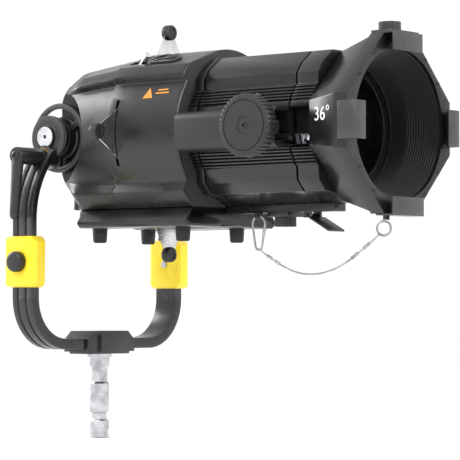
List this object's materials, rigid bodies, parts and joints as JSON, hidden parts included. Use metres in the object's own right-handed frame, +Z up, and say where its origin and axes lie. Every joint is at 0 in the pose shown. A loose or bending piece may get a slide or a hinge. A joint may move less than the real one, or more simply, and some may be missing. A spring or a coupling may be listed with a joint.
{
  "type": "ellipsoidal spotlight",
  "caption": "Framing spotlight head in a height-adjustable yoke on a turned spigot: shell with framing shutters, lens barrel, focus knob, octagonal hood and safety cable.",
  "frame": {"origin": "on the spigot's axis at its shoulder, where the collar of the spigot stands under the yoke", "axes": "+X along the beam, -Y is the side with the brake lever and the focus knob, +Z up"},
  "size_m": [0.5986, 0.373, 0.5948],
  "materials": {
    "cast_housing": "black powder coat on die-cast aluminium",
    "lens_tube": "black powder coat on extruded aluminium",
    "satin_tray": "satin black paint",
    "yoke_paint": "black powder coat on steel strap",
    "clamp_casting": "yellow powder coat on castings",
    "hood_paint": "black powder coat",
    "baffle_black": "matt black",
    "moulded_black": "moulded glass-filled nylon",
    "foot_rubber": "black rubber",
    "spigot_steel": "turned, zinc-plated",
    "friction_grey": "grey die-cast friction ring",
    "washer_brass": "worn brass",
    "blade_steel": "stainless sheet",
    "lens_glass": "coated optical glass",
    "cable_wire": "stranded galvanised steel"
  },
  "bodies": {
    "stand_frame": {"spigot": "spigot_steel", "spigot_bolt": "spigot_steel", "yoke_base_block": "yoke_paint", "lower_yoke": "yoke_paint", "clamp_near": "clamp_casting", "clamp_far": "clamp_casting", "clamp_bolts": "spigot_steel"},
    "clamp_knob_near": {"clamp_knob_near": "moulded_black"},
    "clamp_knob_far": {"clamp_knob_far": "moulded_black"},
    "upper_yoke": {"upper_arm_near": "yoke_paint", "upper_arm_far": "yoke_paint", "arm_tongues": "yoke_paint", "axle_bolts": "spigot_steel", "axle_caps": "spigot_steel", "brake_washer": "washer_brass"},
    "tilt_lever": {"tilt_lever": "moulded_black", "lever_screw": "spigot_steel"},
    "head": {"tilt_rings": "friction_grey", "rear_shell": "cast_housing", "gate_housing": "cast_housing", "base_tray": "satin_tray", "front_bulkhead": "cast_housing", "feet": "foot_rubber", "lamp_mount_ring": "baffle_black", "condenser_cell": "baffle_black", "condenser_lenses": "lens_glass", "shutter_guide": "baffle_black", "gate_plate": "blade_steel", "lens_barrel": "lens_tube", "barrel_collars": "satin_tray", "lens_rail": "satin_tray", "focus_cover": "lens_tube", "hood": "hood_paint", "front_rim": "hood_paint", "rim_screws": "spigot_steel", "hood_baffle": "baffle_black", "accessory_clips": "hood_paint", "clip_springs": "spigot_steel", "carabiner": "spigot_steel", "safety_cable": "cable_wire", "cable_fittings": "cable_wire"},
    "lamp_lock": {"lamp_lock": "spigot_steel"},
    "shutter_top": {"shutter_top": "blade_steel", "shutter_knob_top": "moulded_black"},
    "shutter_bottom": {"shutter_bottom": "blade_steel", "shutter_knob_bottom": "moulded_black"},
    "shutter_near": {"shutter_near": "blade_steel", "shutter_knob_near": "moulded_black"},
    "shutter_far": {"shutter_far": "blade_steel", "shutter_knob_far": "moulded_black"},
    "gobo_lock_pin": {"gobo_lock_pin": "blade_steel"},
    "slot_cover": {"slot_cover": "moulded_black"},
    "focus_knob": {"focus_knob": "moulded_black", "focus_shaft": "spigot_steel"},
    "lens_carriage": {"lens_carriage": "baffle_black", "focus_rack": "spigot_steel", "objective_lenses": "lens_glass"},
    "barrel_lock_knob": {"barrel_lock_knob": "moulded_black"},
    "lens_latch": {"lens_latch": "moulded_black"},
    "lock_screw": {"lock_screw": "moulded_black"}
  },
  "joints": [
    {"name": "near_clamp_turn", "type": "hinge", "parent": "stand_frame", "child": "clamp_knob_near", "pos_m": [0, -0.18, 0.1369], "axis": [0, 1, 0], "range_deg": [-90, 90]},
    {"name": "far_clamp_turn", "type": "hinge", "parent": "stand_frame", "child": "clamp_knob_far", "pos_m": [0, 0.18, 0.1369], "axis": [0, 1, 0], "range_deg": [-90, 90]},
    {"name": "yoke_height", "type": "slide", "parent": "stand_frame", "child": "upper_yoke", "axis": [0, 0, 1], "range_m": [0, 0.04]},
    {"name": "brake_lever_turn", "type": "hinge", "parent": "upper_yoke", "child": "tilt_lever", "pos_m": [0, -0.15, 0.2868], "axis": [0, 1, 0], "range_deg": [-30, 90]},
    {"name": "head_tilt", "type": "hinge", "parent": "upper_yoke", "child": "head", "pos_m": [0, 0, 0.3158], "axis": [0, 1, 0], "range_deg": [-90, 45]},
    {"name": "lamp_lock_pull", "type": "slide", "parent": "head", "child": "lamp_lock", "axis": [0, 0, 1], "range_m": [0, 0.005], "stiffness_N_per_m": 400},
    {"name": "shutter_top_pull", "type": "slide", "parent": "head", "child": "shutter_top", "axis": [0, 0, 1], "range_m": [-0.018, 0.037]},
    {"name": "shutter_bottom_pull", "type": "slide", "parent": "head", "child": "shutter_bottom", "axis": [0, 0, -1], "range_m": [-0.025, 0.03]},
    {"name": "shutter_near_pull", "type": "slide", "parent": "head", "child": "shutter_near", "axis": [0, -1, 0], "range_m": [-0.026, 0.029]},
    {"name": "shutter_far_pull", "type": "slide", "parent": "head", "child": "shutter_far", "axis": [0, 1, 0], "range_m": [-0.026, 0.029]},
    {"name": "gobo_pin_slide", "type": "slide", "parent": "head", "child": "gobo_lock_pin", "axis": [-1, 0, 0], "range_m": [0, 0.008]},
    {"name": "slot_cover_slide", "type": "slide", "parent": "head", "child": "slot_cover", "axis": [1, 0, 0], "range_m": [0, 0.022]},
    {"name": "focus_turn", "type": "hinge", "parent": "head", "child": "focus_knob", "pos_m": [0.4, -0.15, 0.3118], "axis": [0, 1, 0], "range_deg": [-120, 120]},
    {"name": "focus_slide", "type": "slide", "parent": "head", "child": "lens_carriage", "axis": [1, 0, 0], "range_m": [-0.0219, 0.0219]},
    {"name": "barrel_lock_turn", "type": "hinge", "parent": "head", "child": "barrel_lock_knob", "pos_m": [0.343, 0, 0.19], "axis": [0, 0, 1], "range_deg": [-90, 90]},
    {"name": "lens_latch_turn", "type": "hinge", "parent": "head", "child": "lens_latch", "pos_m": [0.39, 0, 0.1988], "axis": [0, 1, 0], "range_deg": [0, 20]},
    {"name": "lock_screw_turn", "type": "hinge", "parent": "head", "child": "lock_screw", "pos_m": [0.5186, 0, 0.44], "axis": [0, 0, 1], "range_deg": [-90, 90]}
  ],
  "couplings": [
    {"joint": "focus_turn", "follows": "focus_slide", "rad_per_m": -95.238}
  ]
}
